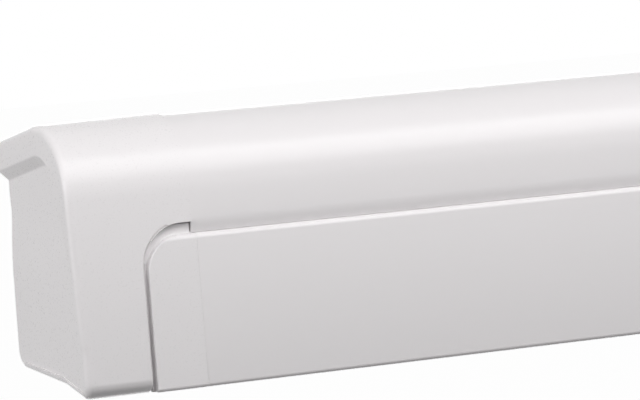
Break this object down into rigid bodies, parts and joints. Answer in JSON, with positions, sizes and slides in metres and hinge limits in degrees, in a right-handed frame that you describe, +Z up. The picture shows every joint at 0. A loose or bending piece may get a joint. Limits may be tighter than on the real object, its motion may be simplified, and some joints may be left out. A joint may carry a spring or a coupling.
{
  "type": "roll out awning",
  "caption": "Closed cassette awning for a caravan wall, with a roller canopy on folding spring arms, a lead bar that closes the case and swing-out telescopic legs.",
  "frame": {"origin": "on the wall plane, at the centre of the middle wall bracket's four holes", "axes": "+X along the case towards the crank end, +Y into the wall, +Z up; the canopy rolls out towards -Y"},
  "size_m": [2.6, 0.0973, 0.167],
  "materials": {
    "case_paint": "smooth satin powder coat on extruded aluminium",
    "cap_plastic": "fine satin moulded plastic in the case's colour",
    "cast_aluminium": "die cast, blasted",
    "bracket_aluminium": "mill-finished extrusion",
    "steel": "stainless",
    "seal_rubber": "matt",
    "black_nylon": "moulded nylon",
    "roller_aluminium": "drawn tube",
    "canopy_cloth": "coated awning cloth",
    "arm_paint": "powder coat",
    "spring_steel": "oiled",
    "leg_plastic": "moulded",
    "leg_aluminium": "satin anodised"
  },
  "bodies": {
    "case": {"cassette_profile": "case_paint", "left_end_cap": "cap_plastic", "right_end_cap": "cap_plastic", "left_end_plate": "cast_aluminium", "right_end_plate": "cast_aluminium", "case_screws": "steel", "wall_bracket_left": "bracket_aluminium", "wall_bracket_middle": "bracket_aluminium", "wall_bracket_right": "bracket_aluminium", "left_shoulder_bracket": "cast_aluminium", "right_shoulder_bracket": "cast_aluminium", "shoulder_pins": "steel", "hood_seal": "seal_rubber", "roller_bush": "black_nylon", "gear_housing": "black_nylon"},
    "roller": {"roller_tube": "roller_aluminium", "roller_idler_plug": "black_nylon", "roller_drive_plug": "black_nylon", "canopy_roll": "canopy_cloth"},
    "crank": {"crank_eye": "steel"},
    "lead_bar": {"lead_bar_profile": "case_paint", "left_lead_cap": "cap_plastic", "right_lead_cap": "cap_plastic", "left_wrist_bracket": "cast_aluminium", "right_wrist_bracket": "cast_aluminium", "wrist_pins": "steel", "canopy_hem": "canopy_cloth", "leg_clips": "black_nylon", "left_leg_bracket": "cast_aluminium", "right_leg_bracket": "cast_aluminium"},
    "left_upper_arm": {"left_shoulder_knuckle": "cast_aluminium", "left_upper_tube": "arm_paint", "left_elbow_fork": "cast_aluminium", "left_elbow_pin": "steel"},
    "left_forearm": {"left_elbow_tongue": "cast_aluminium", "left_forearm_tube": "arm_paint", "left_wrist_knuckle": "cast_aluminium", "left_arm_spring": "spring_steel"},
    "left_leg": {"left_leg_knuckle": "leg_plastic", "left_leg_tube": "leg_aluminium", "left_leg_collar": "leg_plastic"},
    "left_leg_clamp": {"left_leg_lever": "leg_plastic"},
    "left_leg_slider": {"left_inner_leg": "leg_aluminium"},
    "left_leg_foot": {"left_foot": "leg_plastic"},
    "right_upper_arm": {"right_shoulder_knuckle": "cast_aluminium", "right_upper_tube": "arm_paint", "right_elbow_fork": "cast_aluminium", "right_elbow_pin": "steel"},
    "right_forearm": {"right_elbow_tongue": "cast_aluminium", "right_forearm_tube": "arm_paint", "right_wrist_knuckle": "cast_aluminium", "right_arm_spring": "spring_steel"},
    "right_leg": {"right_leg_knuckle": "leg_plastic", "right_leg_tube": "leg_aluminium", "right_leg_collar": "leg_plastic"},
    "right_leg_clamp": {"right_leg_lever": "leg_plastic"},
    "right_leg_slider": {"right_inner_leg": "leg_aluminium"},
    "right_leg_foot": {"right_foot": "leg_plastic"}
  },
  "joints": [
    {"name": "left_shoulder", "type": "hinge", "parent": "case", "child": "left_upper_arm", "pos_m": [-1.195, -0.026, -0.022], "axis": [0, 0.1392, -0.9903], "range_deg": [0, 62]},
    {"name": "left_elbow", "type": "hinge", "parent": "left_upper_arm", "child": "left_forearm", "pos_m": [-0.045, -0.03739, -0.0236], "axis": [0, 0.1392, -0.9903], "range_deg": [-124, 0]},
    {"name": "left_wrist", "type": "hinge", "parent": "left_forearm", "child": "lead_bar", "pos_m": [-1.195, -0.04878, -0.0252], "axis": [0, 0.1392, -0.9903], "range_deg": [0, 62]},
    {"name": "right_shoulder", "type": "hinge", "parent": "case", "child": "right_upper_arm", "pos_m": [1.195, -0.026, -0.022], "axis": [0, -0.1392, 0.9903], "range_deg": [0, 62]},
    {"name": "right_elbow", "type": "hinge", "parent": "right_upper_arm", "child": "right_forearm", "pos_m": [0.045, -0.03739, -0.0236], "axis": [0, -0.1392, 0.9903], "range_deg": [-124, 0]},
    {"name": "roller_turn", "type": "hinge", "parent": "case", "child": "roller", "pos_m": [0, -0.045, 0.035], "axis": [-1, 0, 0], "range_deg": [0, 4270]},
    {"name": "crank_turn", "type": "hinge", "parent": "case", "child": "crank", "pos_m": [1.277, -0.067, -0.082], "axis": [0, 0, 1], "range_deg": [0, 17080]},
    {"name": "left_leg_swing", "type": "hinge", "parent": "lead_bar", "child": "left_leg", "pos_m": [-1.13, -0.0854, -0.03], "axis": [0, 1, 0], "range_deg": [0, 90]},
    {"name": "left_leg_clamp_turn", "type": "hinge", "parent": "left_leg", "child": "left_leg_clamp", "pos_m": [0.031, -0.0854, -0.0465], "axis": [0, -1, 0], "range_deg": [0, 95]},
    {"name": "left_leg_extend", "type": "slide", "parent": "left_leg", "child": "left_leg_slider", "axis": [1, 0, 0], "range_m": [0, 0.95]},
    {"name": "left_foot_tilt", "type": "hinge", "parent": "left_leg_slider", "child": "left_leg_foot", "pos_m": [0.069, -0.0854, -0.03], "axis": [0, 1, 0], "range_deg": [-20, 20]},
    {"name": "right_leg_swing", "type": "hinge", "parent": "lead_bar", "child": "right_leg", "pos_m": [1.13, -0.0716, -0.03], "axis": [0, -1, 0], "range_deg": [0, 90]},
    {"name": "right_leg_clamp_turn", "type": "hinge", "parent": "right_leg", "child": "right_leg_clamp", "pos_m": [-0.031, -0.0716, -0.0465], "axis": [0, 1, 0], "range_deg": [0, 95]},
    {"name": "right_leg_extend", "type": "slide", "parent": "right_leg", "child": "right_leg_slider", "axis": [-1, 0, 0], "range_m": [0, 0.95]},
    {"name": "right_foot_tilt", "type": "hinge", "parent": "right_leg_slider", "child": "right_leg_foot", "pos_m": [-0.069, -0.0716, -0.03], "axis": [0, 1, 0], "range_deg": [-20, 20]}
  ],
  "couplings": [
    {"joint": "left_elbow", "follows": "left_shoulder", "ratio": -2},
    {"joint": "left_wrist", "follows": "left_shoulder", "ratio": 1},
    {"joint": "right_shoulder", "follows": "left_shoulder", "ratio": 1},
    {"joint": "right_elbow", "follows": "left_shoulder", "ratio": -2},
    {"joint": "roller_turn", "follows": "left_shoulder", "ratio": 68.8},
    {"joint": "crank_turn", "follows": "left_shoulder", "ratio": 275.2}
  ]
}
